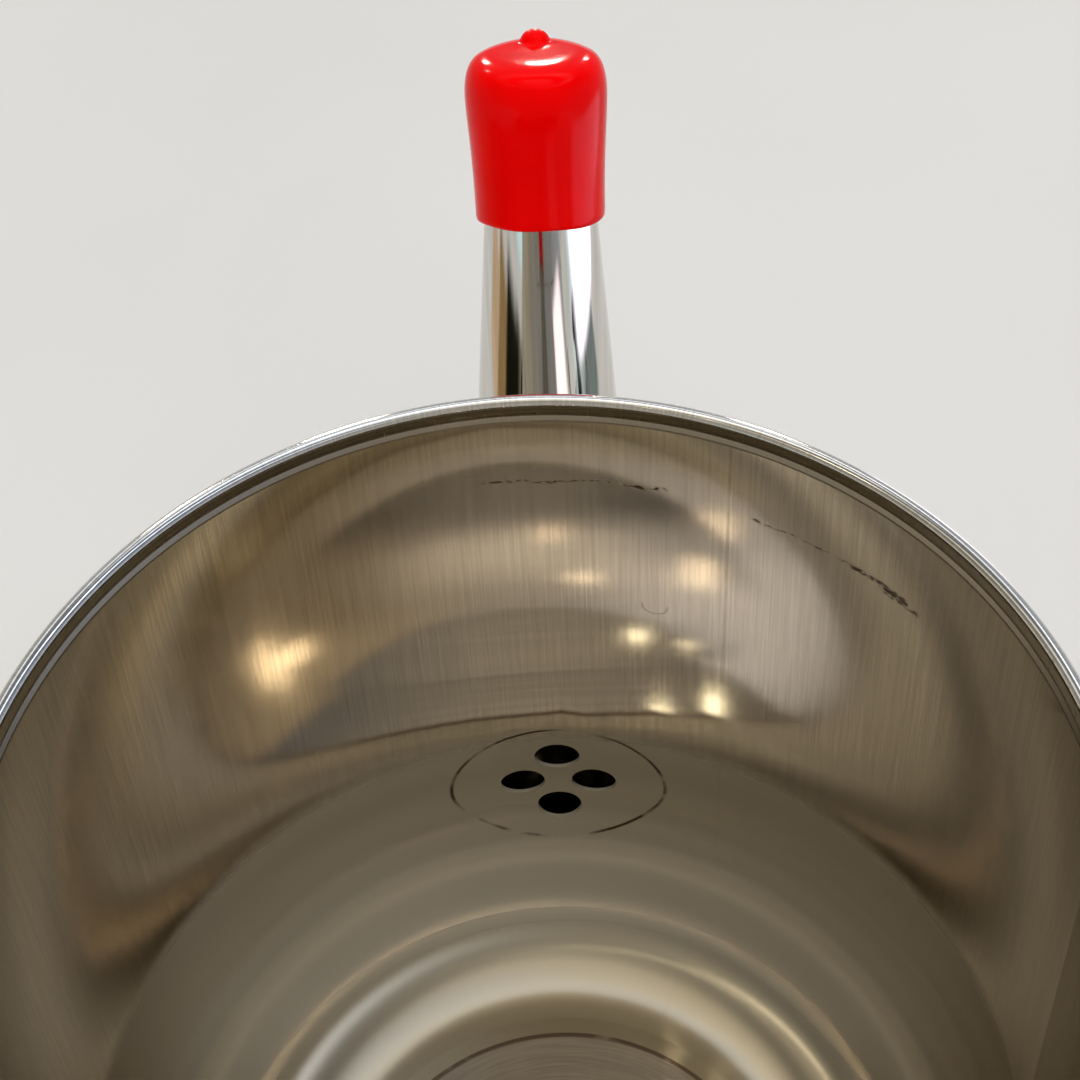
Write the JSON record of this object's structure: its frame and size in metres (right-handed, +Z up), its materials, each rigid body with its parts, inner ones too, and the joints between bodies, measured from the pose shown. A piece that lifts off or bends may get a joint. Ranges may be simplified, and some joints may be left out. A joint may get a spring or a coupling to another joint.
{
  "type": "grease pot with strainer",
  "caption": "Open round pot with a rolled rim, an upright tapered spout under a soft pull-off cap, a hollow loop handle, and a lidded strainer set down beside it.",
  "frame": {"origin": "on the table, under the middle of the pot", "axes": "+Z up; +Y from the middle of the pot towards the spout; the handle is on -Y and the strainer with its lid stands on +X"},
  "size_m": [0.2466, 0.206, 0.1365],
  "materials": {
    "satin_steel": "satin, finely brushed",
    "polished_steel": "mirror polished stainless steel",
    "red_vinyl": "glossy dip-moulded vinyl",
    "black_phenolic": "moulded, semi-gloss",
    "brass": "machined"
  },
  "bodies": {
    "pot": {"pot_wall": "satin_steel", "pot_bottom": "satin_steel", "spout_tube": "polished_steel", "spout_flange": "polished_steel", "handle_upper_saddle": "polished_steel", "handle_lower_saddle": "polished_steel", "handle_back": "polished_steel", "handle_front": "polished_steel"},
    "cap": {"spout_cap": "red_vinyl"},
    "strainer": {"strainer_cup": "satin_steel", "strainer_mesh": "satin_steel", "mesh_retainer": "satin_steel"},
    "lid": {"lid_shell": "satin_steel", "knob_washer": "polished_steel", "lid_knob": "black_phenolic", "knob_insert": "brass", "knob_screw": "polished_steel"}
  },
  "joints": [
    {"name": "cap_pull", "type": "slide", "parent": "pot", "child": "cap", "axis": [0, 0.2588, 0.9659], "range_m": [0, 0.04]},
    {"name": "strainer_lift", "type": "slide", "parent": "pot", "child": "strainer", "axis": [0, 0, 1], "range_m": [0, 0.15]},
    {"name": "lid_lift", "type": "slide", "parent": "strainer", "child": "lid", "axis": [0, 0, 1], "range_m": [0, 0.08]}
  ]
}
